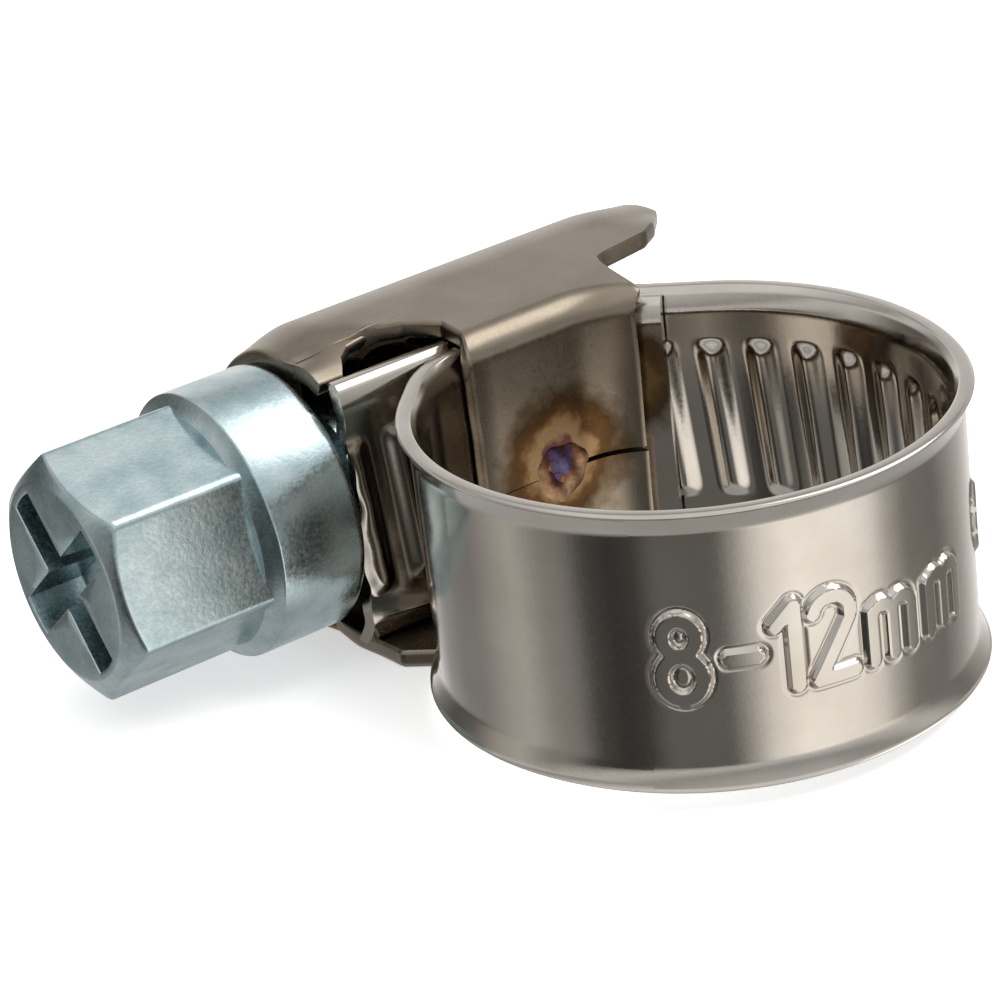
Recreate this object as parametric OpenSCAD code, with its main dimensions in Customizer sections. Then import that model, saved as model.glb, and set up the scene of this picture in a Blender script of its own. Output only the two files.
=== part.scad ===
// Worm-drive hose clamp, 8 to 12 mm size.
// Frame: origin on the axis of the hose at mid band width, +Z along the hose,
// +Y from the hose towards the housing, screw head at -X.

/* [Band] */
// Width of the band, along the hose
band_w = 7.5; // [6.5:0.5:9]
// Thickness of the band's strip
band_t = 0.45; // [0.4:0.01:0.46]
// Radius of the band's inner face along the front, where it bears on the hose
bore_r = 6.3; // [6.28:0.01:6.32]
// Height of each rolled edge that keeps the hose from being cut
edge_roll = 0.65; // [0.4:0.05:0.9]
// How far each rolled edge stands out from the band
edge_out = 0.28; // [0.1:0.02:0.3]
// Height of the pressed teeth on the band's inner face
ridge_h = 0.2; // [0.12:0.01:0.2]
// Length of each pressed tooth across the band
ridge_len = 4.6; // [3.5:0.1:5]

/* [Screw] */
// Pitch of the worm thread, which is the band's travel for one turn
pitch = 1.4; // [1.38:0.01:1.42]
// Outer radius of the worm thread
thread_r = 2.8; // [2.76:0.01:2.81]
// Root radius of the worm thread
root_r = 2.2; // [1.9:0.05:2.3]
// Hexagon size across the flats
hex_af = 6; // [5.5:0.5:6]
// Length of the hexagon head
hex_len = 4.1; // [3.5:0.1:5]
// Radius of the collar behind the head
collar_r = 3.7; // [3:0.1:3.7]
// Width of the arms of the cross recess in the head
slot_w = 1.1; // [0.8:0.1:1.2]
// Depth of the cross recess in the head
slot_depth = 1.6; // [1:0.1:2]

/* [Housing] */
// Thickness of the housing's sheet
sheet_t = 0.5; // [0.4:0.02:0.5]
// Half of the housing's width across the cheeks, and the outer radius of its dome
cheek_z = 4.3; // [4.28:0.01:4.5]
// Width of the closed seam in the saddle
seam_gap = 0.14; // [0.08:0.02:0.2]

/* [Hidden] */
$fn = 96;

steel = "#a7a29b";
zinc = "#a9bfca";
heat_tint = "#6b5a66";

function dir(a) = [cos(a), sin(a)];

// Stack at the housing, as heights along +Y from the hose's axis
saddle_y = 6.25;                                    // inner face of the housing's saddle
layer_gap = 0.03;
fixed_y = saddle_y + sheet_t + layer_gap;           // inner face of the fixed end
strip_y = fixed_y + band_t + layer_gap + ridge_h;   // inner face of the threaded strip
groove_y = 7.55;                                    // floor of the grooves for the thread
screw_y = 10.4;

// Loop of the band: front arc about the origin, flatter sides, rounder shoulders
slope = 45;                                         // of the straight runs to the housing
front_half = 57;
front_end = 90 - front_half;
side_r = bore_r + 1;
side_c = (side_r - bore_r) * [-cos(front_end), sin(front_end)];
shoulder_r = bore_r + 0.3;
shoulder_c = side_c + [side_r - shoulder_r, 0];
joint_gap = 0.04;
right_joint = 35;
open_joint = 137;

// Bends over the two edges of the saddle; mouth is at the screw's tip, entry at its head
mouth_r = 3.4;
mouth_rise = strip_y - shoulder_c.y - shoulder_r * sin(slope) - mouth_r * (1 - cos(slope));
mouth_c = [shoulder_c.x + (shoulder_r - mouth_r) * cos(slope) - mouth_rise / tan(slope), strip_y - mouth_r];
entry_r = 3;
entry_rise = fixed_y - shoulder_c.y - shoulder_r * sin(slope) - entry_r * (1 - cos(slope));
entry_c = [-shoulder_c.x - (shoulder_r - entry_r) * cos(slope) + entry_rise / tan(slope), fixed_y - entry_r];
fixed_r = fixed_y - mouth_c.y;
fixed_tip = 0.7;                                    // straight end of the fixed layer
tail_end_x = -5.7;

// Pressed teeth, at one pitch along the middle of the strip from the start of the mouth bend
bar_r = (band_t + ridge_h) / 2 - 0.005;
mid = band_t / 2;
bend_s = (mouth_r + mid) * slope * PI / 180;
run_s = mouth_rise / sin(slope);
right_s = bend_s + run_s + (shoulder_r + mid) * (slope - right_joint) * PI / 180;
last_s = bend_s + run_s + (shoulder_r + mid) * (slope + 3) * PI / 180;
first_tooth = mouth_c.x - pitch / 2;
tail_grooves = [for (x = first_tooth; x > tail_end_x; x = x - pitch) x];
tail_teeth = [for (x = tail_grooves) if (x > tail_end_x + 0.55) x];
loop_teeth = [for (s = pitch / 2; s < last_s; s = s + pitch) s];

// Screw, as places along X
head_x = -13;
collar_chamfer = 0.3;
collar_x = head_x + hex_len + collar_chamfer;
neck_x = -5.95;
thread_x = -5;
rib_x = [-4.8, 5.3];
screw_end_x = 5.9;
neck_r = 1.85;
crest_w = 0.3;
flank_w = 1;
play = 0.06;
lead_tilt = asin(pitch / (2 * PI * thread_r));
hex_turn = 12;                                      // of the hexagon about its axis, from corners at +Z
slot_turn = 50;
recess_r = 2.5;
chamfer_run = 0.55;

// Housing
dome_x = [-5.85, 7.05];
saddle_x = [-2.55, 2.2];
lip_x = [-5.9, -5.35];
wrap_floor = 5;
head_cut = 9.3;                                     // height of the cheek's cut near the head
ring_low = 8.3;                                     // how far the head end follows the screw round
arch_x = [-5.05, -3.5];                             // where the arch rises from it to the cheek's cut
seam_z = -0.3;
weld_x = 0.1;
weld_r = 0.8;

// Place of a tooth at length s along the loop: [point on the inner face, outward angle]
function tooth_place(s) =
  let (run = s - bend_s, arc = run - run_s, past = arc - (shoulder_r + mid) * slope * PI / 180,
    a = slope - arc / (shoulder_r + mid) * 180 / PI, b = -past / (side_r + mid) * 180 / PI)
  run < 0 ? [mouth_c + mouth_r * dir(90 - s / bend_s * slope), 90 - s / bend_s * slope]
  : arc < 0 ? [mouth_c + mouth_r * dir(slope) + run * dir(slope - 90), slope]
  : past < 0 ? [shoulder_c + shoulder_r * dir(a), a]
  : [side_c + side_r * dir(b), b];

// ---- shared shapes of the band ----

// Section of the band: first axis is the distance out from the inner face, second is along Z
module band_section() {
  h = band_w / 2;
  polygon([[0, -h + edge_roll], [edge_out * 0.3, -h + edge_roll * 0.5], [edge_out, -h],
    [edge_out + band_t, -h], [edge_out * 0.4 + band_t, -h + edge_roll * 0.5], [band_t, -h + edge_roll],
    [band_t, h - edge_roll], [edge_out * 0.4 + band_t, h - edge_roll * 0.5], [edge_out + band_t, h],
    [edge_out, h], [edge_out * 0.3, h - edge_roll * 0.5], [0, h - edge_roll]]);
}

// Frame at centre c, turned so that its first axis points out of the band at angle out
module at_bend(c, out) {
  translate([c.x, c.y, 0]) rotate([0, 0, out]) children();
}

// In such a frame, a bend of inner radius r that runs anticlockwise through an angle
module bend(r, angle) {
  rotate_extrude(angle = angle) translate([r, 0]) band_section();
}

// The same, running clockwise
module bend_back(r, angle) {
  mirror([0, 1, 0]) bend(r, angle);
}

// In such a frame, a straight run that goes on clockwise from a bend of inner radius r
module run(r, len) {
  translate([r, 0, 0]) rotate([90, 0, 0]) linear_extrude(len) band_section();
}

// Thin gap that parts two stretches of the band at point p
module joint_cut(p, out) {
  translate([p.x, p.y, 0])
    rotate([0, 0, out])
      translate([-1, -joint_gap / 2, -band_w])
        cube([3, joint_gap, 2 * band_w]);
}

// Round bar along a tooth: sunk in the inner face it is the ridge, and moved out by the
// band's thickness it is the hollow that the same pressing leaves
module tooth_bar(at, sunk, len) {
  translate([at[0].x, at[0].y, 0])
    rotate([0, 0, at[1]])
      translate([sunk + bar_r, 0, 0])
        rotate([-lead_tilt, 0, 0])
          cylinder(r = bar_r, h = len, center = true);
}

// Presses a tooth into the band at each place in the list of [point, outward angle]
module toothed(places) {
  difference() {
    union() {
      children();
      for (at = places) tooth_bar(at, -ridge_h, ridge_len);
    }
    for (at = places) tooth_bar(at, band_t - ridge_h, ridge_len - 0.6);
  }
}

// Slot that the worm thread runs in, tilted to the thread's lead
module thread_slot(x) {
  translate([x, screw_y, 0])
    rotate([0, 90 - lead_tilt, 0])
      rotate_extrude()
        polygon([[root_r, -flank_w / 2 - play], [screw_y - groove_y, -crest_w / 2 - play],
          [screw_y - groove_y, crest_w / 2 + play], [root_r, flank_w / 2 + play]]);
}

// ---- housing: one sheet wrapped round the screw and closed under the band ----

// Outline across the screw, moved in by d, with Z to the left and Y up
module wrap_outline(d) {
  translate([0, screw_y]) circle(cheek_z - d);
  translate([-cheek_z + d, wrap_floor]) square([2 * (cheek_z - d), screw_y - wrap_floor]);
}

module along_x(x0, x1) {
  translate([x0, 0, 0]) rotate([0, 90, 0]) linear_extrude(x1 - x0) children();
}

// Side view of the sheet above the saddle: arch over the strip near the head, tongue at the tip
module side_outline() {
  polygon([[dome_x[0], head_cut], [-3.4, head_cut - 0.1], [-2.75, 8.85], [-2.1, 8], [-2.2, 7],
    [saddle_x[0], 6.3], [saddle_x[0], wrap_floor], [saddle_x[1], wrap_floor], [saddle_x[1], 5.85],
    [2.6, 6.3], [3, 7], [3.65, 8.4], [4.6, 8.55], [5.55, 8.75], [6.15, 9.15], [dome_x[1], 10.2],
    [dome_x[1], 15], [dome_x[0], 15]]);
}

// Space under the saddle, bounded by its flat middle and its two bent ends
module saddle_underside(up) {
  translate([entry_c.x, 0]) square([mouth_c.x - entry_c.x, saddle_y + up]);
  translate(mouth_c) circle(saddle_y + up - mouth_c.y);
  translate(entry_c) circle(saddle_y + up - entry_c.y);
}

module housing() {
  color(steel) {
    wrapped_sheet();
    // upper side of the head end, which follows the screw round down to the strip
    intersection() {
      along_x(dome_x[0], arch_x[1]) difference() {
        translate([0, screw_y]) circle(cheek_z);
        translate([0, screw_y]) circle(cheek_z - sheet_t);
        translate([0, 0]) square([5, 15]);
      }
      translate([0, 0, -5]) linear_extrude(10)
        polygon([[dome_x[0], ring_low], [arch_x[0], ring_low], [arch_x[0] + 0.3, 8.8],
          [arch_x[0] + 0.8, 9.15], [arch_x[1], head_cut], [arch_x[1], 15], [dome_x[0], 15]]);
    }
  }
}

module wrapped_sheet() {
  difference() {
    intersection() {
      union() {
        difference() {
          along_x(dome_x[0], dome_x[1]) wrap_outline(0);
          along_x(dome_x[0] - 1, dome_x[1] + 1) wrap_outline(sheet_t);
        }
        translate([0, 0, -cheek_z + 0.1]) linear_extrude(2 * cheek_z - 0.2) intersection() {
          saddle_underside(sheet_t);
          translate([saddle_x[0], wrap_floor]) square([saddle_x[1] - saddle_x[0], 3]);
        }
        // inward lip that holds the screw by its neck
        along_x(lip_x[0], lip_x[1]) difference() {
          translate([0, screw_y]) circle(cheek_z - sheet_t / 2);
          translate([0, screw_y]) circle(neck_r + 0.15);
          translate([-5, 5]) square([10, screw_y - 5 - 0.4]);
        }
      }
      union() {
        translate([0, 0, -5]) linear_extrude(10) side_outline();
        // lower cheek reaches further towards the head
        translate([0, 0, -5]) linear_extrude(5)
          polygon([[-5.6, 9.5], [-5.45, 7.4], [-3.6, 6.6], [saddle_x[0], 6.3], [-1.9, 6.3], [-1.9, 9.5]]);
      }
    }
    translate([0, 0, -5]) linear_extrude(10) saddle_underside(0);
    // seam where the two edges of the sheet meet, and the place of the weld
    union() {
      translate([-4, wrap_floor, seam_z - seam_gap / 2]) cube([8, 2.2, seam_gap]);
      weld_disc(-1, sheet_t + 0.4);
    }
  }
}

// Round place of the weld, between two heights above the saddle's inner face
module weld_disc(low, high) {
  translate([weld_x, saddle_y + low, seam_z])
    rotate([-90, 0, 0])
      cylinder(r = weld_r, h = high - low);
}

// Fused metal that closes the seam: flush inside the housing, with a small blow-hole
module seam_weld() {
  color(heat_tint) difference() {
    weld_disc(0, sheet_t);
    translate([weld_x - 0.35, saddle_y - 1, seam_z + 0.2])
      rotate([-90, 0, 0]) cylinder(r = 0.14, h = 1.25);
  }
}

// ---- screw: hexagon with a cross recess, collar, neck and worm thread in one piece ----

// Helical rib of the worm, a trapezium swept round the screw's axis and rooted inside the core
module worm_rib() {
  steps = 24;
  rooted = 0.2;
  foot_w = flank_w + rooted * (flank_w - crest_w) / (thread_r - root_r);
  first_turn = (rib_x[0] - first_tooth) / pitch;
  turns = (rib_x[1] - rib_x[0]) / pitch;
  n = ceil(turns * steps);
  // the crest sinks into the core over the last third of a turn at each end
  function crest(i) = thread_r - (thread_r - root_r + rooted / 2) * (1 - min(1, i / 8, (n - i) / 8));
  points = [for (i = [0:n])
    let (a = 360 * (first_turn + turns * i / n), x = rib_x[0] + turns * pitch * i / n)
    for (q = [[root_r - rooted, -foot_w / 2], [crest(i), -crest_w / 2],
      [crest(i), crest_w / 2], [root_r - rooted, foot_w / 2]])
      [x + q[1], screw_y - q[0] * cos(a), -q[0] * sin(a)]];
  sides = [for (i = [0:n - 1]) for (j = [0:3]) for (f = [
    [4 * i + j, 4 * i + (j + 1) % 4, 4 * i + 4 + j],
    [4 * i + (j + 1) % 4, 4 * i + 4 + (j + 1) % 4, 4 * i + 4 + j]]) f];
  polyhedron(points, concat(sides, [[3, 2, 1, 0]], [[for (j = [0:3]) 4 * n + j]]), 8);
}

module round_x(x0, x1, r) {
  translate([x0, screw_y, 0]) rotate([0, 90, 0]) cylinder(r = r, h = x1 - x0);
}

module worm_screw() {
  color(zinc) {
    difference() {
      intersection() {
        translate([head_x, screw_y, 0]) rotate([-hex_turn, 0, 0]) rotate([0, 90, 0])
          cylinder(d = hex_af / cos(30), h = collar_x - head_x + 0.2, $fn = 6);
        // cone that chamfers the end of the hexagon
        translate([head_x, screw_y, 0]) rotate([0, 90, 0])
          cylinder(r1 = hex_af / 2 - 0.25, r2 = hex_af / 2 + 8, h = 8.25 * chamfer_run);
      }
      intersection() {
        round_x(head_x - 1, head_x + slot_depth, recess_r);
        for (a = [slot_turn, slot_turn + 90]) translate([head_x, screw_y, 0]) rotate([a, 0, 0])
          translate([-2, -slot_w / 2, -5]) cube([slot_depth + 4, slot_w, 10]);
      }
    }
    translate([collar_x - collar_chamfer, screw_y, 0]) rotate([0, 90, 0])
      cylinder(r1 = collar_r - 0.5, r2 = collar_r, h = collar_chamfer);
    round_x(collar_x, neck_x, collar_r);
    round_x(neck_x - 0.1, thread_x + 0.1, neck_r);
    round_x(thread_x, screw_end_x - 0.5, root_r);
    translate([screw_end_x - 0.5, screw_y, 0]) rotate([0, 90, 0])
      cylinder(r1 = root_r, r2 = root_r - 0.5, h = 0.5);
    worm_rib();
  }
}

// ---- band: one strip on the real clamp, parted here at its flexing joints ----

left_side_c = [-side_c.x, side_c.y];
left_shoulder_c = [-shoulder_c.x, shoulder_c.y];

// Each bend's frame is nested in the one before, so that their end faces meet exactly
module band_fixed_end() {
  entry_run = entry_rise / sin(slope);
  flat_run = mouth_c.x - entry_c.x;
  color(steel) difference() {
    at_bend(left_shoulder_c, 180 - slope) {
      bend(shoulder_r, open_joint - 180 + slope);
      run(shoulder_r, entry_run);
      at_bend([shoulder_r - entry_r, -entry_run], -slope) {
        bend(entry_r, slope);
        run(entry_r, flat_run);
        at_bend([entry_r - fixed_r, -flat_run], -slope) {
          bend(fixed_r, slope);
          run(fixed_r, fixed_tip);
        }
      }
    }
    joint_cut(left_shoulder_c + shoulder_r * dir(open_joint), open_joint);
    // clipped corners of the strip's end
    at_bend(mouth_c, slope) for (s = [-1, 1])
      translate([fixed_r, -fixed_tip, s * band_w / 2]) rotate([45, 0, 0])
        cube([3, 1.1, 1.1], center = true);
  }
}

// Straight threaded strip that the worm drives through the housing
module band_tail() {
  color(steel) difference() {
    toothed([for (x = tail_teeth) [[x, strip_y], 90]])
      at_bend([tail_end_x, strip_y], 90) run(0, mouth_c.x - tail_end_x - joint_gap / 2);
    for (x = tail_grooves) thread_slot(x);
  }
}

module band_mouth_bend() {
  color(steel) difference() {
    toothed([for (s = loop_teeth) if (s < right_s) tooth_place(s)]) {
      at_bend(mouth_c, slope) {
        bend(mouth_r, slope);
        run(mouth_r, run_s);
        at_bend([mouth_r - shoulder_r, -run_s], 0) bend_back(shoulder_r, slope - right_joint);
      }
    }
    thread_slot(first_tooth + pitch);
    joint_cut([mouth_c.x, strip_y], 90);
    joint_cut(shoulder_c + shoulder_r * dir(right_joint), right_joint);
  }
}

module band_right_side() {
  color(steel) difference() {
    toothed([for (s = loop_teeth) if (s > right_s) tooth_place(s)]) {
      at_bend(shoulder_c, 0) bend(shoulder_r, right_joint);
      at_bend(side_c, 0) bend_back(side_r, front_end);
    }
    joint_cut(shoulder_c + shoulder_r * dir(right_joint), right_joint);
    joint_cut(bore_r * dir(-front_end), -front_end);
  }
}

// Front of the loop, a true cylinder inside, which carries the size mark
module band_front() {
  color(steel) difference() {
    at_bend([0, 0], front_end - 180) bend(bore_r, 180 - 2 * front_end);
    joint_cut(bore_r * dir(-front_end), -front_end);
    joint_cut(bore_r * dir(front_end - 180), front_end - 180);
  }
}

module band_left_side() {
  color(steel) difference() {
    at_bend(left_side_c, 180) bend(side_r, front_end);
    joint_cut(bore_r * dir(front_end - 180), front_end - 180);
    joint_cut(left_side_c - [side_r, 0], 180);
  }
}

module band_left_shoulder() {
  color(steel) difference() {
    at_bend(left_shoulder_c, open_joint) bend(shoulder_r, 180 - open_joint);
    joint_cut(left_side_c - [side_r, 0], 180);
    joint_cut(left_shoulder_c + shoulder_r * dir(open_joint), open_joint);
  }
}

housing();
seam_weld();
worm_screw();
band_fixed_end();
band_tail();
band_mouth_bend();
band_right_side();
band_front();
band_left_side();
band_left_shoulder();
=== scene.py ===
"""Looks of a small worm-drive hose clamp: band, housing, weld and screw as fine surfaces over the CAD."""

import math

import bpy
import numpy as np
from mathutils import Matrix, Vector


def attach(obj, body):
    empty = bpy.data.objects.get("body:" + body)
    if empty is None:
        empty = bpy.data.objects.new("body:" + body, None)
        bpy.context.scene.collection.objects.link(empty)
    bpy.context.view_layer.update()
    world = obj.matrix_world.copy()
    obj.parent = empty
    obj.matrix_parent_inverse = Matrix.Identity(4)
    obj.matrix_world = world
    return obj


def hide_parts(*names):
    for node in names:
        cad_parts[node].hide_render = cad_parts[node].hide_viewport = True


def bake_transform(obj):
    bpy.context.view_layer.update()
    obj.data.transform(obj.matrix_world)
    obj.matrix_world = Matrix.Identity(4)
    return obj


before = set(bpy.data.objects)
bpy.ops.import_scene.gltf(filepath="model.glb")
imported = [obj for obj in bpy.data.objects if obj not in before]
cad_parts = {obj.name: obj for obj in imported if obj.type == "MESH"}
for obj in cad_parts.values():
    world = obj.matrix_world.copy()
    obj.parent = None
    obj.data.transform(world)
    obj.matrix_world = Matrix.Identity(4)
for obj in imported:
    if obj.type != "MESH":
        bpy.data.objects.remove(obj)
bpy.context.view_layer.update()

# ---------------------------------------------------------------------------------------------
# Band: one strip of bright stainless steel, 7.5 x 0.45 mm, with rolled edges. Its threaded end
# leaves the housing, runs once round the hose and returns under itself, welded to the housing.
# It is built in seven lengths, which meet exactly.
# ---------------------------------------------------------------------------------------------
MM = 0.001
# lengths below are in mm
half_w = 3.75
strip_t = 0.45
mid = strip_t / 2
edge_roll = 0.65
edge_out = 0.28
rim_round = 0.11
bore_r = 6.3
side_r = bore_r + 1.0
shoulder_r = bore_r + 0.3
mouth_r = 3.4
entry_r = 3.0
slope = math.radians(45)
front_end = math.radians(33)
saddle_y = 6.25
sheet_t = 0.5
layer_gap = 0.03
ridge_h = 0.2
fixed_y = saddle_y + sheet_t + layer_gap
strip_y = fixed_y + strip_t + layer_gap + ridge_h
tail_end_x = -5.7
fixed_tip = 0.7
pitch = 1.4
screw_y = 10.4
thread_r = 2.8
lead_tan = pitch / (2 * math.pi * thread_r)

side_c = (side_r - bore_r) * np.array([-math.cos(front_end), math.sin(front_end)])
shoulder_c = side_c + [side_r - shoulder_r, 0]
top_of_shoulder = shoulder_c[1] + shoulder_r * math.sin(slope)
mouth_run = (strip_y - top_of_shoulder - mouth_r * (1 - math.cos(slope))) / math.sin(slope)
entry_run = (fixed_y - top_of_shoulder - entry_r * (1 - math.cos(slope))) / math.sin(slope)
mouth_x = shoulder_c[0] + (shoulder_r - mouth_r - mouth_run) * math.cos(slope)
entry_x = -shoulder_c[0] - (shoulder_r - entry_r - entry_run) * math.cos(slope)
mouth_y = strip_y - mouth_r
entry_y = fixed_y - entry_r

# stretches of the strip in turn: straight length or turn of a bend, and the bend's inner radius
stretches = [
    ("tail", mouth_x - tail_end_x, 0),
    ("mouth", slope, mouth_r),
    ("mouth_run", mouth_run, 0),
    ("right_shoulder", slope, shoulder_r),
    ("right_side", front_end, side_r),
    ("front", math.pi - 2 * front_end, bore_r),
    ("left_side", front_end, side_r),
    ("left_shoulder", slope, shoulder_r),
    ("entry_run", entry_run, 0),
    ("entry", slope, entry_r),
    ("fixed_flat", mouth_x - entry_x, 0),
    ("fixed_bend", slope, fixed_y - mouth_y),
    ("fixed_tip", fixed_tip, 0),
]
radius = np.array([r for _, _, r in stretches])
lengths = np.array([a if r == 0 else a * (r + mid) for _, a, r in stretches])
starts = np.concatenate([[0], np.cumsum(lengths)[:-1]])
start_of = {name: start for (name, _, _), start in zip(stretches, starts)}


def unit(angle):
    """Unit vectors in the plane across the hose at these angles."""
    return np.stack([np.cos(angle), np.sin(angle)], -1)


start_angle, start_point = [math.pi / 2], [np.array([tail_end_x, strip_y])]
for _, amount, r in stretches[:-1]:
    out = start_angle[-1]
    if r == 0:
        start_angle.append(out)
        start_point.append(start_point[-1] + amount * unit(out - math.pi / 2))
    else:
        start_angle.append(out - amount)
        start_point.append(start_point[-1] + r * (unit(out - amount) - unit(out)))
start_angle, start_point = np.array(start_angle), np.array(start_point)


def on_band(s):
    """Inner-face point and outward angle at each mid-line length s: a straight run goes on along its heading,
    and a bend of radius r turns clockwise about its centre by the length over r plus half the thickness."""
    k = np.clip(np.searchsorted(starts, s, side="right") - 1, 0, len(starts) - 1)
    rest = s - starts[k]
    bent = radius[k] > 0
    turn = np.where(bent, rest / (radius[k] + mid), 0)
    angle = start_angle[k] - turn
    straight = np.where(bent, 0, rest)[..., None] * unit(start_angle[k] - math.pi / 2)
    arc = radius[k][..., None] * (unit(angle) - unit(start_angle[k]))
    return start_point[k] + straight + arc, angle


def smooth(t):
    """Rises from 0 to 1 as t does, level at both ends."""
    t = np.clip(t, 0, 1)
    return t * t * (3 - 2 * t)


first_tooth = start_of["mouth"] + pitch / 2
tooth_range = (-5, 9)
tooth_len = 4.6
tooth_reach = 0.56


def teeth(s, z, depth, reach):
    """Depth of the pressed thread: a raised cosine across each tooth, one per pitch and slanted by the
    thread's lead, which fades out over its rounded ends."""
    place = (s - first_tooth + z * lead_tan) / pitch
    nearest = np.clip(np.round(place), *tooth_range)
    across = np.clip(np.abs(place - nearest) * pitch / reach, 0, 1)
    ends = smooth((tooth_len / 2 - np.abs(z)) / 0.45)
    return depth * (1 + np.cos(math.pi * across)) / 2 * np.sqrt(ends)


def rim(z):
    """How far the strip stands out near its rolled edges: a power curve over the height of the roll."""
    return edge_out * np.clip((np.abs(z) - half_w + edge_roll) / edge_roll, 0, 1) ** 1.3


# centre lines of the raised size mark, in mm along the outer face and up it from the mark's middle
mark_angle = math.radians(-97)
cap_low, cap_top = -1.25, 0.9
stroke = 0.17


def ring(u, z, ru, rz, a0=0, a1=360):
    """Points of an elliptic arc about (u, z) between two angles in degrees."""
    a = np.radians(np.linspace(a0, a1, 25))
    return np.stack([u + ru * np.cos(a), z + rz * np.sin(a)], -1)


def letter_m(u):
    """Stems and round arches of a small m whose left stem is at u."""
    arch, head = 0.31, -0.14
    lines = [np.array([[u, cap_low], [u, head + 0.2]])]
    for k in (0, 1):
        centre = u + arch + 2 * arch * k
        down = np.array([[centre + arch, cap_low]])
        lines.append(np.concatenate([ring(centre, head, arch, arch, 180, 0), down]))
    return lines


mark_lines = [
    ring(-4.42, 0.42, 0.4, 0.46),
    ring(-4.42, -0.67, 0.5, 0.58),
    np.array([[-3.27, -0.27], [-2.58, -0.27]]),
    np.array([[-2.14, 0.42], [-1.66, cap_top], [-1.66, cap_low]]),
    np.concatenate([ring(-0.69, 0.4, 0.5, 0.5, 165, -35), [[-1.13, cap_low], [-0.14, cap_low]]]),
    *letter_m(0.42),
    *letter_m(2.37),
]
boss_angle = math.radians(-43)
boss = (0.42, 0.95)


def raised_mark(u, z):
    """Height of the size mark: a flat-topped bead along its centre lines, in a fine pressed outline."""
    near = np.full(u.shape, 9.0)
    p = np.stack([u, z], -1)
    for line in mark_lines:
        for a, b in zip(line[:-1], line[1:]):
            along = np.clip(((p - a) @ (b - a)) / ((b - a) @ (b - a)), 0, 1)
            near = np.minimum(near, np.linalg.norm(p - a - along[..., None] * (b - a), axis=-1))
    bead = 0.12 * smooth((stroke + 0.09 - near) / 0.1)
    return bead - 0.03 * np.exp(-(((near - stroke - 0.12) / 0.05) ** 2))


def raised_boss(u, z):
    """Height of the plain oval boss at the right of the mark: a flat top with a soft edge."""
    far = np.sqrt((u / boss[0]) ** 2 + (z / boss[1]) ** 2)
    return 0.11 * smooth((1.12 - far) / 0.24) - 0.03 * np.exp(-(((far - 1.2) / 0.1) ** 2))


def strip_surface(s_from, s_to, step, fine):
    """Grid of points of one length of the strip: its closed section goes up the inner face, over a rounded
    rim, down the outer face and round the other rim, and is carried along the strip at every station."""
    s = np.linspace(s_from, s_to, max(3, round(abs(s_to - s_from) / step) + 1))
    corner = np.linspace(0, math.pi / 2, 5)[1:-1]
    flat = half_w - rim_round
    inner_z = np.linspace(-flat, flat, 76)
    outer_z = np.linspace(flat, -flat, round(2 * flat / fine) + 1)
    w = np.concatenate([
        rim(inner_z),
        edge_out + rim_round * (1 - np.cos(corner)),
        [edge_out + rim_round, edge_out + strip_t - rim_round],
        edge_out + strip_t - rim_round * (1 - np.sin(corner)),
        strip_t + rim(outer_z),
        edge_out + strip_t - rim_round * (1 - np.cos(corner)),
        [edge_out + strip_t - rim_round, edge_out + rim_round],
        edge_out + rim_round * (1 - np.sin(corner)),
    ])
    z = np.concatenate([
        inner_z, flat + rim_round * np.sin(corner), [half_w, half_w], flat + rim_round * np.cos(corner),
        outer_z, -flat - rim_round * np.sin(corner), [-half_w, -half_w], -flat - rim_round * np.cos(corner),
    ])
    face = np.zeros(len(w))
    face[: len(inner_z)] = -1
    first_outer = len(inner_z) + 2 * len(corner) + 2
    face[first_outer : first_outer + len(outer_z)] = 1
    s, w, z, face = (np.broadcast_to(a, (len(s), len(w))) for a in (s[:, None], w, z, face))
    # the hollows on the tail are deep enough for the worm's thread
    deep = 0.24 + 0.2 * smooth((start_of["mouth"] + 1.8 - s) / 1.0)
    w = w - np.where(face < 0, teeth(s, z, ridge_h, tooth_reach), 0)
    w = w - np.where(face > 0, teeth(s, z, 1, tooth_reach) * deep, 0)
    point, angle = on_band(s)
    outer_arc = bore_r + strip_t
    # only the lengths near the front carry the mark and the boss
    if start_of["front"] - 3 < s.mean() < start_of["left_side"]:
        w = w + np.where(face > 0, raised_mark((angle - mark_angle) * outer_arc, z), 0)
        w = w + np.where(face > 0, raised_boss((angle - boss_angle) * outer_arc, z), 0)
    # the sheared end of the tail is a little uneven
    end = np.exp(-s / 0.25) * (0.05 * np.sin(2.1 * z + 0.4) + 0.035 * np.sin(5.3 * z))
    point = point + end[..., None] * unit(angle - math.pi / 2)
    flat_point = point + w[..., None] * unit(angle)
    return np.concatenate([flat_point, z[..., None]], -1)


def colour(code):
    """An sRGB hex colour as linear RGBA."""
    srgb = [int(code[i : i + 2], 16) / 255 for i in (1, 3, 5)]
    return (*(c / 12.92 if c <= 0.04045 else ((c + 0.055) / 1.055) ** 2.4 for c in srgb), 1)


def add(tree, kind, inputs=None, **settings):
    """Adds a node, sets its options, and gives each input a value or a link."""
    n = tree.nodes.new(kind)
    for name, value in settings.items():
        setattr(n, name, value)
    for name, value in (inputs or {}).items():
        if isinstance(value, bpy.types.NodeSocket):
            tree.links.new(value, n.inputs[name])
        else:
            n.inputs[name].default_value = value
    return n


def add_ramp(tree, share, stops):
    """A colour ramp over the share, with these places and colours in rising order."""
    n = add(tree, "ShaderNodeValToRGB", {"Fac": share})
    marks = n.color_ramp.elements
    marks[0].position, marks[0].color = stops[0]
    marks[1].position, marks[1].color = stops[-1]
    for at, shade in stops[1:-1]:
        marks.new(at).color = shade
    return n


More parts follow.
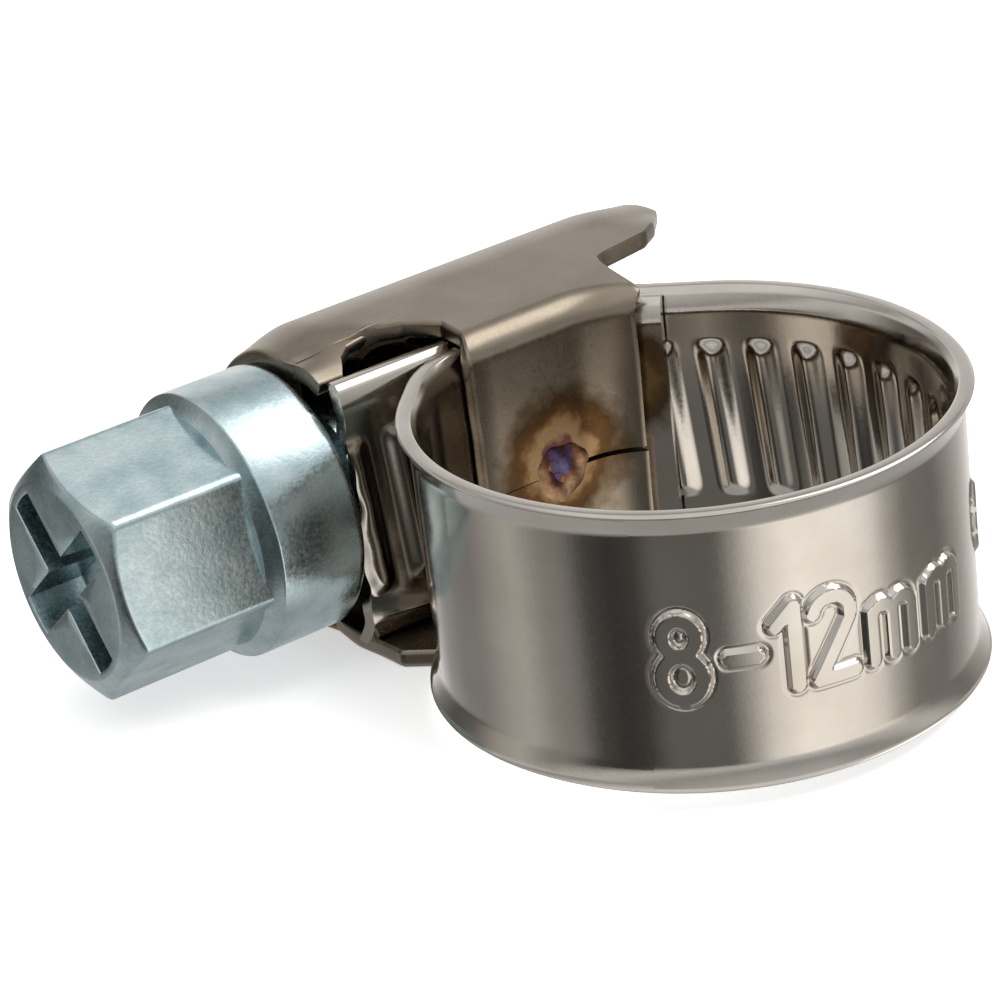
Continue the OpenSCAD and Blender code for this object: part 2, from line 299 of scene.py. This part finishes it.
def steel(name, light, dark, rough, cloud_mm, grain_mm, dent_um):
    """A rolled metal: cloudy between two colours, with grain of a real size in its roughness and relief."""
    made = bpy.data.materials.new(name)
    made.use_nodes = True
    tree = made.node_tree
    shader = tree.nodes["Principled BSDF"]
    place = add(tree, "ShaderNodeTexCoord").outputs["Object"]
    cloud = add(tree, "ShaderNodeTexNoise", {"Vector": place, "Scale": 1 / (cloud_mm * MM), "Detail": 5.0})
    grain = add(tree, "ShaderNodeTexNoise", {"Vector": place, "Scale": 1 / (grain_mm * MM), "Detail": 3.0})
    tone = add(tree, "ShaderNodeMapRange", {
        "Value": cloud.outputs["Fac"], "From Min": 0.35, "From Max": 0.65, "To Min": 0.0, "To Max": 1.0})
    mix = add(tree, "ShaderNodeMix", {"Factor": tone.outputs["Result"]}, data_type="RGBA")
    mix.inputs["A"].default_value, mix.inputs["B"].default_value = colour(light), colour(dark)
    gloss = add(tree, "ShaderNodeMapRange", {
        "Value": grain.outputs["Fac"], "From Min": 0.3, "From Max": 0.7,
        "To Min": rough[0], "To Max": rough[1]})
    relief = add(tree, "ShaderNodeBump", {
        "Height": grain.outputs["Fac"], "Strength": 1.0, "Distance": dent_um * 1e-6})
    shader.inputs["Metallic"].default_value = 1.0
    tree.links.new(mix.outputs["Result"], shader.inputs["Base Color"])
    tree.links.new(gloss.outputs["Result"], shader.inputs["Roughness"])
    tree.links.new(relief.outputs["Normal"], shader.inputs["Normal"])
    return made, mix


def solid(name, grid, material, crease=38):
    """A closed mesh from a grid of points in mm whose columns go round: quads between neighbours, and one
    face over each end. Faces are turned outwards by the sign of the volume they enclose."""
    rows, cols = grid.shape[:2]
    at = np.arange(rows * cols).reshape(rows, cols)
    after = np.roll(at, -1, axis=1)
    quads = np.stack([at[:-1], after[:-1], after[1:], at[1:]], -1).reshape(-1, 4)
    p = grid.reshape(-1, 3) * MM
    centred = p - p.mean(0)
    a, b, c, d = (centred[quads[:, k]] for k in range(4))
    volume = np.einsum("ij,ij->", a, np.cross(b, c)) + np.einsum("ij,ij->", a, np.cross(c, d))
    for cap, sign in ((at[0], -1), (at[-1], 1)):
        q = centred[cap[::sign]]
        volume += np.einsum("ij,ij->", np.broadcast_to(q[0], q[1:-1].shape), np.cross(q[1:-1], q[2:]))
    faces = [*quads.tolist(), at[0][::-1].tolist(), at[-1].tolist()]
    if volume < 0:
        faces = [f[::-1] for f in faces]
    mesh = bpy.data.meshes.new(name)
    mesh.from_pydata(p.tolist(), [], faces)
    mesh.materials.append(material)
    mesh.shade_smooth()
    mesh.set_sharp_from_angle(angle=math.radians(crease))
    mesh.validate()
    piece = bpy.data.objects.new(name, mesh)
    bpy.context.scene.collection.objects.link(piece)
    return piece


# bright rolled strip: clear, slightly streaked reflections with hardly any cloudiness. Its rolling grain of
# about 0.02 mm is too fine to show and is drawn coarser, at 0.11 mm.
band_steel, _ = steel("bright_stainless_strip", "#c8c2b9", "#bdb5ab", (0.1, 0.17), 2.5, 0.11, 1.0)

# places along the strip where one length ends and the next begins, and where two joints lie
marked_turn = (math.radians(-60), math.radians(-142.5))
open_turn, right_turn = math.radians(43), math.radians(10)
mark_from = start_of["front"] + (bore_r + mid) * (-front_end - marked_turn[0])
mark_to = start_of["front"] + (bore_r + mid) * (-front_end - marked_turn[1])
open_joint = start_of["left_shoulder"] + (shoulder_r + mid) * open_turn
mouth_mid = start_of["mouth_run"] + mouth_run / 2
right_mid = (start_of["right_side"] + start_of["front"]) / 2
left_mid = (start_of["left_side"] + start_of["left_shoulder"]) / 2
strip_end = starts[-1] + lengths[-1]


def band_piece(name, node, s_from, s_to, step, fine=0.1):
    """One length of the band in its steel, which stands for one CAD node."""
    piece = solid(name, strip_surface(s_from, s_to, step, fine), band_steel)
    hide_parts(node)
    return piece


def flex(piece):
    """Bakes the piece's placement into its mesh."""
    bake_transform(piece)


flex(band_piece("band_threaded_tail", "band_tail", 0, mouth_mid, 0.05))
flex(band_piece("band_right_shoulder", "band_mouth_bend", mouth_mid, right_mid, 0.05))
flex(band_piece("band_right_front", "band_right_side", right_mid, mark_from, 0.05, 0.05))
front = band_piece("band_front_mark", "band_front", mark_from, mark_to, 0.036, 0.036)
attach(front, "front")
flex(band_piece("band_left_front", "band_left_side", mark_to, left_mid, 0.08))
flex(band_piece("band_left_shoulder_flex", "band_left_shoulder", left_mid, open_joint, 0.08))
fixed = band_piece("band_welded_end", "band_fixed_end", open_joint, strip_end, 0.06)
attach(fixed, "clamp_body")

# ---------------------------------------------------------------------------------------------
# Housing: one satin stainless sheet, 0.5 mm thick, wrapped round the screw. Its cheeks fold in
# under the band, where the two edges meet in a seam across the saddle, and its tongue covers
# the tip of the screw. The head end is drawn in round the collar and has a lip for the neck.
# ---------------------------------------------------------------------------------------------
cheek_z = 4.3
fold_r = 0.8
seam_z = -0.3
seam_half = 0.07
dome_x = (-5.85, 7.05)
edge_round = 0.1
# the dome's two ends are drawn in: by what share, from which x, over what run, and above what height
head_draw, head_draw_x, head_draw_run = 0.085, -4.2, 1.8
tip_draw, tip_draw_x, tip_draw_run = 0.05, 5.2, 2.2
draw_y, draw_rise = 8.6, 1.4


def arc(centre, r, a0, a1, step):
    """Points and outward normals of an arc between two angles."""
    a = np.linspace(a0, a1, max(4, round(abs(a1 - a0) * r / step)))
    return np.asarray(centre) + r * unit(a), unit(a)


def half_wrap(from_z):
    """Half of the sheet's outer section from the seam to the top of the dome: along the saddle, round the
    fold, up the cheek and round the dome."""
    flat_z = np.linspace(from_z, cheek_z - fold_r, 44)[:-1]
    cheek_y = np.linspace(saddle_y + fold_r, screw_y, 70)[1:-1]
    parts = [
        (np.stack([flat_z, np.full_like(flat_z, saddle_y)], -1), np.tile([0.0, -1.0], (len(flat_z), 1))),
        arc((cheek_z - fold_r, saddle_y + fold_r), fold_r, -math.pi / 2, 0, 0.05),
        (np.stack([np.full_like(cheek_y, cheek_z), cheek_y], -1), np.tile([1.0, 0.0], (len(cheek_y), 1))),
        arc((0, screw_y), cheek_z, 0, math.pi / 2, 0.09),
    ]
    return (np.concatenate(x) for x in zip(*parts))


upper, upper_n = half_wrap(seam_z + seam_half)
lower, lower_n = half_wrap(-seam_z + seam_half)
flip = np.array([-1, 1])
section = np.concatenate([upper, (lower * flip)[::-1][1:]])
section_n = np.concatenate([upper_n, (lower_n * flip)[::-1][1:]])
sec_z, sec_y = section.T
is_lower = sec_z < 0

# where the sheet is cut at the head end and the tip end, by height
head_upper = np.interp(
    sec_y, [6.3, 7.0, 8.0, 8.85, 9.2, 9.3, 9.35], [-2.5, -2.2, -2.1, -2.75, -3.4, -4.4, dome_x[0]])
head_lower = np.interp(sec_y, [6.3, 6.6, 7.4, 9.5, 9.9], [-2.5, -3.6, -5.45, -5.6, dome_x[0]])
head_cut = np.where(is_lower, head_lower, head_upper)
tip_cut = np.interp(
    sec_y, [5.85, 6.3, 7.0, 8.35, 8.45, 8.58, 8.75, 9.15, 10.2],
    [2.2, 2.6, 3.0, 3.6, 3.85, 4.6, 5.55, 6.15, dome_x[1]])
# the sheared ends wander a little along the section
walk = np.cumsum(np.concatenate([[0], np.linalg.norm(np.diff(section, axis=0), axis=1)]))
head_cut = head_cut + 0.03 + 0.02 * np.sin(1.3 * walk) + 0.008 * np.sin(4.1 * walk + 1)
tip_cut = tip_cut - 0.03 - 0.02 * np.sin(0.9 * walk + 2)

across = np.linspace(0, 1, 90)
depth = np.linspace(0, 1, 9)[1:-1]
share = np.concatenate([across, np.ones(len(depth)), across[::-1], np.zeros(len(depth))])
under = np.concatenate([np.zeros(len(across)), depth, np.ones(len(across)), depth[::-1]])
inset = edge_round * (1 - np.sqrt(1 - np.abs(2 * under - 1) ** 3))
x = (head_cut[:, None] + inset) * (1 - share) + (tip_cut[:, None] - inset) * share
y = sec_y[:, None] - sheet_t * under * section_n[:, 1][:, None]
z = sec_z[:, None] - sheet_t * under * section_n[:, 0][:, None]
# the saddle bends down over the strip's entry and its mouth, and the cheeks follow at their foot
bend_reach = 2.2
drop_mouth = np.sqrt(np.clip((saddle_y - mouth_y) ** 2 - np.clip(x - mouth_x, 0, 2) ** 2, 0, None))
drop_entry = np.sqrt(np.clip((saddle_y - entry_y) ** 2 - np.clip(entry_x - x, 0, bend_reach) ** 2, 0, None))
drop = (drop_mouth - (saddle_y - mouth_y)) + (drop_entry - (saddle_y - entry_y))
foot = 1 - smooth((sec_y - saddle_y - 0.3) / 1.5)
y = y + drop * foot[:, None]
# the seam is closed on the head side of the weld and open on the tip side
closing = 0.058 * (1 - smooth((x + 0.2) / 1.0))
from_seam = np.abs(z - seam_z) - seam_half
on_floor = (sec_y < saddle_y + 1e-6)[:, None]
z = z - np.where(on_floor, np.sign(z - seam_z) * closing * np.exp(-from_seam / 0.12), 0)


def drawn_in(x, y, z):
    """Draws the dome's ends in towards its axis and turns the cheek's end round the screw near the head."""
    round_it = smooth((-3.4 - x) / 0.9) * (z > 3) * (y > 8) * (y < screw_y)
    z = z - round_it * (cheek_z - np.sqrt(np.clip(cheek_z**2 - (screw_y - y) ** 2, 0, None)))
    pull = head_draw * smooth((head_draw_x - x) / head_draw_run)
    pull = pull + tip_draw * smooth((x - tip_draw_x) / tip_draw_run)
    pull = pull * smooth((y - draw_y) / draw_rise)
    return y - pull * (y - screw_y), z * (1 - pull)


y, z = drawn_in(x, y, z)
# satin sheet: broad, soft highlights along the bends and a slight cloudiness from pressing. The tumbled
# surface's grain of about 0.03 mm is too fine to show and is drawn coarser, at 0.09 mm.
housing_steel, housing_mix = steel(
    "satin_stainless_sheet", "#d3cec6", "#c3bdb4", (0.26, 0.34), 1.6, 0.09, 1.6)
housing = solid("housing_sheet", np.stack([x, y, z], -1), housing_steel)
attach(housing, "clamp_body")
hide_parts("housing")

# the lip is a ring pressed inwards at the head end, which stops at the strip
lip_x = (-5.8, -5.35)
lip_r = (2.0, 3.7)
turn = np.linspace(math.radians(-8), math.radians(188), 70)[:, None]
lip_profile = np.array([
    [lip_x[0], lip_r[1]], [lip_x[0], lip_r[0] + edge_round], [lip_x[0] + edge_round, lip_r[0]],
    [lip_x[1] - edge_round, lip_r[0]], [lip_x[1], lip_r[0] + edge_round], [lip_x[1], lip_r[1]]])
lip_at = lip_profile[:, 1] * np.ones_like(turn)
lip = solid("housing_lip", np.stack([
    lip_profile[:, 0] * np.ones_like(turn), screw_y + lip_at * np.sin(turn), lip_at * np.cos(turn)], -1),
    housing_steel)
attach(lip, "clamp_body")

# the head end goes on round the screw at the arch's side, down to the strip
leg_end, leg_overlap, leg_top, leg_cols = -3.55, 0.02, math.radians(-3), 30
leg_x = np.linspace(dome_x[0] + 0.05, leg_end, 40)[:, None]
leg_low = np.interp(leg_x, [-5.05, -4.9, -4.7, -4.3, leg_end], [8.3, 8.5, 8.83, 9.12, 9.27])
low_angle = -np.arcsin((screw_y - leg_low) / cheek_z)
share = np.linspace(0, 1, leg_cols)
curl = np.linspace(0, math.pi, 7)[1:-1]
angle = np.concatenate([
    leg_top + (low_angle - leg_top) * share,
    low_angle - 0.02 * np.sin(curl),
    low_angle + (leg_top - low_angle) * share], axis=1)
gauge = np.concatenate([
    np.full(leg_cols, cheek_z - leg_overlap),
    cheek_z - sheet_t / 2 + (sheet_t / 2 - leg_overlap) * np.cos(curl),
    np.full(leg_cols, cheek_z - sheet_t + leg_overlap)])
leg_draw = head_draw * smooth((head_draw_x - leg_x) / head_draw_run)
pull = 1 - leg_draw * smooth((screw_y + gauge * np.sin(angle) - draw_y) / draw_rise)
grid = np.stack([
    leg_x + 0 * angle, screw_y + pull * gauge * np.sin(angle), pull * gauge * np.cos(angle)], -1)
leg = solid("housing_head_leg", grid, housing_steel)
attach(leg, "clamp_body")

# ---------------------------------------------------------------------------------------------
# Weld: a spot of fused metal that closes the seam in the saddle, with a blow-hole. Its heat has
# tinted the steel round it: blue and purple close by, then straw, then a brown halo.
# ---------------------------------------------------------------------------------------------
weld_x = 0.1
weld_r = 0.85
hole = (-0.3, 0.22, 0.13)
weld_rise = 0.05


def heat_tint(made, mix, centre, reach_mm, stops):
    """Tints a metal by its distance from a hot spot, as oxide colours do, over that reach."""
    tree = made.node_tree
    place = add(tree, "ShaderNodeTexCoord").outputs["Object"]
    noise = add(tree, "ShaderNodeTexNoise", {"Vector": place, "Scale": 1 / (0.6 * MM), "Detail": 3.0})
    wander = add(tree, "ShaderNodeVectorMath", {1: (0.5, 0.5, 0.5)}, operation="SUBTRACT")
    tree.links.new(noise.outputs["Color"], wander.inputs[0])
    moved = add(tree, "ShaderNodeVectorMath", {
        0: wander.outputs[0], 1: (1.1 * MM, 0.2 * MM, 1.1 * MM), 2: place}, operation="MULTIPLY_ADD")
    far = add(tree, "ShaderNodeVectorMath", {
        0: moved.outputs[0], 1: tuple(c * MM for c in centre)}, operation="DISTANCE")
    share = add(tree, "ShaderNodeMath", {0: far.outputs["Value"], 1: reach_mm * MM}, operation="DIVIDE")
    ramp = add_ramp(tree, share.outputs[0], [(at, colour(code)) for at, code in stops])
    tinted = add(tree, "ShaderNodeMix", {"Factor": 1.0}, data_type="RGBA", blend_type="MULTIPLY")
    tree.links.new(mix.outputs["Result"], tinted.inputs["A"])
    tree.links.new(ramp.outputs["Color"], tinted.inputs["B"])
    tree.links.new(tinted.outputs["Result"], tree.nodes["Principled BSDF"].inputs["Base Color"])


# oxide colours outwards from the weld, as shares of the tint's reach
weld_tint = [(0.0, "#767da6"), (0.13, "#6f5f8c"), (0.21, "#8d5c48"), (0.3, "#c2a284"), (0.44, "#bf9e74"),
             (0.58, "#7d5c3c"), (0.7, "#6b523a"), (0.84, "#8d7c68"), (1.0, "#b5aca0")]
heat_tint(housing_steel, housing_mix, (weld_x, saddle_y, seam_z + 0.35), 2.3, weld_tint)
# the strip beside the saddle, where the weld's heat left straw and light brown on a slightly duller shine
end_steel, end_mix = steel("heat_tinted_strip", "#c8c2b9", "#bdb5ab", (0.14, 0.22), 2.5, 0.11, 1.0)
heat_tint(end_steel, end_mix, (2.3, 5.9, 1.6), 1.9, [
    (0.0, "#f0d9ae"), (0.35, "#e4c796"), (0.5, "#a98a62"), (0.62, "#8b7a66"), (0.8, "#d9d2c8"),
    (1.0, "#ffffff")])
fixed.data.materials[0] = end_steel
# fused metal: uneven and matt in patches of half a millimetre, blue and purple in the middle
weld_steel, weld_mix = steel("heat_tinted_fused_steel", "#d8d0c8", "#a0938a", (0.25, 0.45), 0.5, 0.12, 6.0)
heat_tint(weld_steel, weld_mix, (weld_x, saddle_y, seam_z + 0.25), 2.6, weld_tint)

turn = np.linspace(0, 2 * math.pi, 120, endpoint=False)
rows = np.linspace(0, 1, 45)[1:]
outline = weld_r * (1 + 0.07 * np.sin(3 * turn + 0.7) + 0.04 * np.sin(7 * turn))
u, v = rows[:, None] * outline * np.cos(turn), rows[:, None] * outline * np.sin(turn)
dish = 0.6 * np.exp(-((u + 0.1) ** 2 + v**2) / 0.12)
puddle = weld_rise * (np.sqrt(np.clip(1 - rows[:, None] ** 4, 0, 1)) - dish)
puddle = puddle + 0.02 * np.sin(9 * u + 4 * v) * (1 - rows[:, None] ** 2)
blow = smooth(1.25 - np.hypot(u - hole[0], v - hole[1]) / hole[2])
height = saddle_y - puddle + 0.02 + 0.3 * blow
back = np.stack([weld_x + u[-1:], np.full_like(u[-1:], saddle_y + 0.4), seam_z + v[-1:]], -1)
spot = np.stack([weld_x + u, height, seam_z + v], -1)
weld = solid("seam_weld_spot", np.concatenate([spot, back]), weld_steel)
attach(weld, "clamp_body")
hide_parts("seam_weld")

# ---------------------------------------------------------------------------------------------
# Screw: turned and rolled in one piece, with blue-white zinc plate. A 6 mm hexagon with cross
# slots, a collar, a neck for the housing's lip and a coarse worm thread.
# ---------------------------------------------------------------------------------------------
head_x = -13
hex_back = -8.9
collar_x = -8.6
collar_r = 3.7
neck_x = -5.95
thread_x = -5.0
core_end = 5.9
hex_af = 6.0
chamfer_r = hex_af / 2 - 0.25
chamfer_run = 0.55
hex_turn = math.radians(-12)
slot_w = 1.1
slot_depth = 1.6
slot_turn = math.radians(50)
recess_r = 2.5
hex_round = 0.28
root_r = 2.2
crest_half = 0.15
foot_half = 0.5
rib_x = (-4.8, 5.3)
groove_x = mouth_x - pitch / 2

# zinc plate: a pale, cool, slightly blue metal, clouded in patches of a millimetre by its passivation, with
# the fine crystals of the plate in its shine. They are about 0.03 mm and are drawn coarser, at 0.12 mm.
zinc, _ = steel("blue_white_zinc_plate", "#c3d1d2", "#a5b9bd", (0.2, 0.32), 0.9, 0.12, 5.0)

turn = np.linspace(0, 2 * math.pi, 432, endpoint=False)
arm = slot_w / 2
wall_end = math.asin(arm / recess_r)
breaks = slot_turn + math.pi / 2 * np.arange(4)[:, None] + [-wall_end, wall_end, math.pi / 4]
breaks = breaks.ravel() % (2 * math.pi)
turn = turn[np.abs(turn[:, None] - breaks).min(1) > 0.006]
turn = np.sort(np.concatenate([turn, breaks]))
from_arm = np.abs((turn - slot_turn + math.pi / 4) % (math.pi / 2) - math.pi / 4)
cross = np.minimum(recess_r, arm / np.maximum(np.sin(from_arm), 1e-6))
sector = np.abs((turn - hex_turn + math.pi / 6) % (math.pi / 3) - math.pi / 6)
corner_at = (hex_af / 2 - hex_round) / math.cos(math.pi / 6)
from_corner = math.pi / 6 - sector
corner = corner_at * np.cos(from_corner) + np.sqrt(
    np.clip(hex_round**2 - (corner_at * np.sin(from_corner)) ** 2, 0, None))
on_corner = hex_af / 2 * np.tan(sector) > (hex_af / 2 - hex_round) * math.tan(math.pi / 6)
flat_r = np.where(on_corner, corner, hex_af / 2 / np.cos(sector))
worn = 0.05


def soft_min(a, b):
    """The smaller of two lengths, rounded where they cross."""
    return -worn * np.log(np.exp(-a / worn) + np.exp(-b / worn))


ones = np.ones_like(turn)
recess_rim, face_rim = np.minimum(cross + 0.05, chamfer_r - 0.1), chamfer_r - 0.08
# stations of the head from the bottom of the recess out to the end face and back along the flats
rows = [
    (slot_depth + 0.25, 0.04 * ones), (slot_depth + 0.1, 0.5 * (cross - 0.12)), (slot_depth, cross - 0.16),
    (slot_depth - 0.05, cross - 0.11), (slot_depth / 2, cross - 0.055), (0.05, cross), (0.015, cross + 0.01),
    (0.0, recess_rim)]
rows += [(0.0, recess_rim * (1 - k) + face_rim * k) for k in (0.33, 0.67, 1)]
for down in np.concatenate([np.linspace(0.01, 0.65, 26), [1, 1.8, 2.6, 3.4, hex_back - head_x + 0.25]]):
    rows.append((down, soft_min(chamfer_r - 0.03 + down / chamfer_run, flat_r)))
hexagon = np.array([
    np.stack([head_x + down * ones, screw_y + r * np.cos(turn), r * np.sin(turn)], -1) for down, r in rows])
head = solid("screw_head", hexagon, zinc, 50)
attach(head, "screw")

turn = np.linspace(0, 2 * math.pi, 144, endpoint=False)
bead = np.linspace(0, math.pi / 2, 6)
front_bead, back_bead, neck_r = 0.07, 0.3, 1.85
thread_run = np.arange(thread_x + 0.05, core_end - 0.5, 0.05)
# outline of the collar, neck, threaded core and tip as places along the screw and radii
shaft = np.concatenate([
    [[hex_back, 2.3], [hex_back + 0.02, collar_r - 0.45]],
    np.stack([collar_x + front_bead * (1 - np.cos(bead)), collar_r - front_bead * (1 - np.sin(bead))], -1),
    [[-7.2, collar_r]],
    np.stack([neck_x - back_bead * (1 - np.sin(bead)), collar_r - back_bead * (1 - np.cos(bead))], -1),
    [[neck_x, 2.6], [neck_x, neck_r], [-5.5, neck_r], [thread_x - 0.2, neck_r], [thread_x, root_r]],
    np.stack([thread_run, np.full_like(thread_run, root_r)], -1),
    [[core_end - 0.5, root_r], [core_end - 0.1, root_r - 0.4], [core_end, root_r - 0.55], [core_end, 0.3]],
])
along, r = shaft[:, 0][:, None], shaft[:, 1][:, None] * np.ones_like(turn)
# the thread's crest passes the strip at the grooves; angles count from the strip towards -Z
offset = ((along - groove_x) / pitch - turn / (2 * math.pi) + 0.5) % 1 - 0.5
rise = np.clip((foot_half - np.abs(offset) * pitch) / (foot_half - crest_half), 0, 1)
fade = smooth((along - rib_x[0]) / 0.6) * smooth((rib_x[1] - along) / 0.6)
r = r + (thread_r - root_r) * rise * fade
screw = solid("screw_worm", np.stack([
    along * np.ones_like(turn), screw_y - r * np.cos(turn), -r * np.sin(turn)], -1), zinc, 35)
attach(screw, "screw")
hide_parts("worm_screw")

# ---------------------------------------------------------------------------------------------
# Floor and light: a pale floor in a white studio, with a broad bright panel to the right, a
# narrow one to the left and dark gaps between them that the bright metal mirrors. The floor isn't
# mirrored, so the panels reach below the horizon.
# ---------------------------------------------------------------------------------------------
paper = bpy.data.materials.new("pale_paper")
paper.use_nodes = True
paper_shader = paper.node_tree.nodes["Principled BSDF"]
paper_shader.inputs["Base Color"].default_value = colour("#f4f4f2")
paper_shader.inputs["Roughness"].default_value = 0.9
paper_shader.inputs["Emission Color"].default_value = colour("#ffffff")
paper_shader.inputs["Emission Strength"].default_value = 0.5
floor_z = -cheek_z * MM
floor_mesh = bpy.data.meshes.new("floor")
floor_mesh.from_pydata([(x, y, floor_z) for x, y in ((-2, -2), (2, -2), (2, 2), (-2, 2))], [], [(0, 1, 2, 3)])
floor_mesh.materials.append(paper)
floor = bpy.data.objects.new("floor", floor_mesh)
floor.visible_glossy = False
bpy.context.scene.collection.objects.link(floor)

world = bpy.data.worlds.new("studio")
bpy.context.scene.world = world
world.use_nodes = True
sky = world.node_tree
sky.nodes.clear()
heading = add(sky, "ShaderNodeTexCoord").outputs["Generated"]
look = add(sky, "ShaderNodeSeparateXYZ", {0: heading})
bearing = add(sky, "ShaderNodeMath", {0: look.outputs["Y"], 1: look.outputs["X"]}, operation="ARCTAN2")
round_share = add(sky, "ShaderNodeMapRange", {
    "Value": bearing.outputs[0], "From Min": -math.pi, "From Max": math.pi, "To Min": 0.0, "To Max": 1.0})
# bearing in degrees from +X, and brightness, of the panels and the gaps round the object
bearings = [(-180, 0.09), (-170, 0.05), (-160, 0.07), (-150, 0.18), (-124, 0.17), (-116, 0.5), (-106, 1.15),
            (-92, 1.5), (-66, 1.4), (-54, 1.15), (-46, 0.65), (-34, 0.3), (-12, 0.24), (8, 0.5), (35, 1.0),
            (75, 1.0), (92, 0.3), (108, 0.12), (122, 0.18), (138, 0.5), (148, 0.62), (160, 0.36), (170, 0.3),
            (178, 0.12), (180, 0.09)]
panels = add_ramp(sky, round_share.outputs["Result"], [
    ((at + 180) / 360, (level, level * 0.985, level * 0.96, 1)) for at, level in bearings])
# overhead: a bright ring just above the panels, a dimmer one over it and a bright ceiling, all of it lower
# in front than behind; under the panels, the light that the floor throws back
front_lift = add(sky, "ShaderNodeMath", {
    0: look.outputs["Y"], 1: -0.2, 2: look.outputs["Z"]}, operation="MULTIPLY_ADD")
height = add(sky, "ShaderNodeMapRange", {
    "Value": front_lift.outputs[0], "From Min": -1.0, "From Max": 1.0, "To Min": 0.0, "To Max": 1.0})
levels = [(0.0, 0.5), (0.5, 0.7), (0.6, 0.8), (0.66, 0.74), (0.71, 0.42), (0.8, 0.7), (0.9, 1.0), (1.0, 1.0)]
overhead = add_ramp(sky, height.outputs["Result"], [(at, (v * 0.98, v * 0.99, v, 1)) for at, v in levels])
belt = add_ramp(sky, height.outputs["Result"], [
    (at, (v, v, v, 1)) for at, v in ((0.12, 1.0), (0.24, 0.0), (0.54, 0.0), (0.63, 1.0))])
tent = add(sky, "ShaderNodeMix", {"Factor": belt.outputs["Color"]}, data_type="RGBA")
sky.links.new(panels.outputs["Color"], tent.inputs["A"])
sky.links.new(overhead.outputs["Color"], tent.inputs["B"])
# soft box over the right shoulder of the housing
toward = add(sky, "ShaderNodeVectorMath", {0: heading, 1: (0.57, -0.13, 0.81)}, operation="DOT_PRODUCT")
softbox = add(sky, "ShaderNodeMapRange", {
    "Value": toward.outputs["Value"], "From Min": 0.89, "From Max": 0.97, "To Min": 0.0, "To Max": 2.2},
    interpolation_type="SMOOTHSTEP")
lit = add(sky, "ShaderNodeMix", {"Factor": 1.0}, data_type="RGBA", blend_type="ADD")
sky.links.new(tent.outputs["Result"], lit.inputs["A"])
sky.links.new(softbox.outputs["Result"], lit.inputs["B"])
# the background itself is plain white
direct = add(sky, "ShaderNodeLightPath").outputs["Is Camera Ray"]
seen = add(sky, "ShaderNodeMix", {"Factor": direct}, data_type="RGBA")
sky.links.new(lit.outputs["Result"], seen.inputs["A"])
seen.inputs["B"].default_value = (1, 1, 1, 1)
shine = add(sky, "ShaderNodeBackground", {"Color": seen.outputs["Result"], "Strength": 1.0})
add(sky, "ShaderNodeOutputWorld", {"Surface": shine.outputs[0]})

# soft box from the front right, for shading only: it isn't mirrored
key = bpy.data.lights.new("soft_box", "AREA")
key.energy, key.size = 0.35, 0.12
key_box = bpy.data.objects.new("soft_box", key)
key_box.visible_glossy = False
key_box.location = (0.06, -0.1, 0.2)
key_box.rotation_euler = (Vector((0, 0, 0)) - key_box.location).to_track_quat("-Z", "Y").to_euler()
bpy.context.scene.collection.objects.link(key_box)

# ---------------------------------------------------------------------------------------------
# Camera: a long lens 95 mm away, from the front left and above, tilted by 7 degrees.
# ---------------------------------------------------------------------------------------------
view_from, view_height, tilt = math.radians(33.3), math.radians(24.8), math.radians(7.2)
target = np.array([1.32, 0.3, 0])
across_frame, down_frame, away = 6.127, -0.2, 95.155
right = np.array([math.cos(view_from), -math.sin(view_from), 0])
ahead = np.array([math.sin(view_from) * math.cos(view_height), math.cos(view_from) * math.cos(view_height),
                  -math.sin(view_height)])
above = np.cross(right, ahead)
turned_right = math.cos(tilt) * right - math.sin(tilt) * above
turned_above = math.sin(tilt) * right + math.cos(tilt) * above
place = target - across_frame * turned_right - down_frame * turned_above - away * ahead
camera_data = bpy.data.cameras.new("camera")
camera_data.sensor_width, camera_data.lens = 36, 133.3
camera_data.clip_start, camera_data.clip_end = 0.005, 10
camera = bpy.data.objects.new("camera", camera_data)
camera.matrix_world = Matrix((
    (turned_right[0], turned_above[0], -ahead[0], place[0] * MM),
    (turned_right[1], turned_above[1], -ahead[1], place[1] * MM),
    (turned_right[2], turned_above[2], -ahead[2], place[2] * MM),
    (0, 0, 0, 1)))
bpy.context.scene.collection.objects.link(camera)
bpy.context.scene.camera = camera
bpy.context.scene.view_settings.view_transform = "Standard"
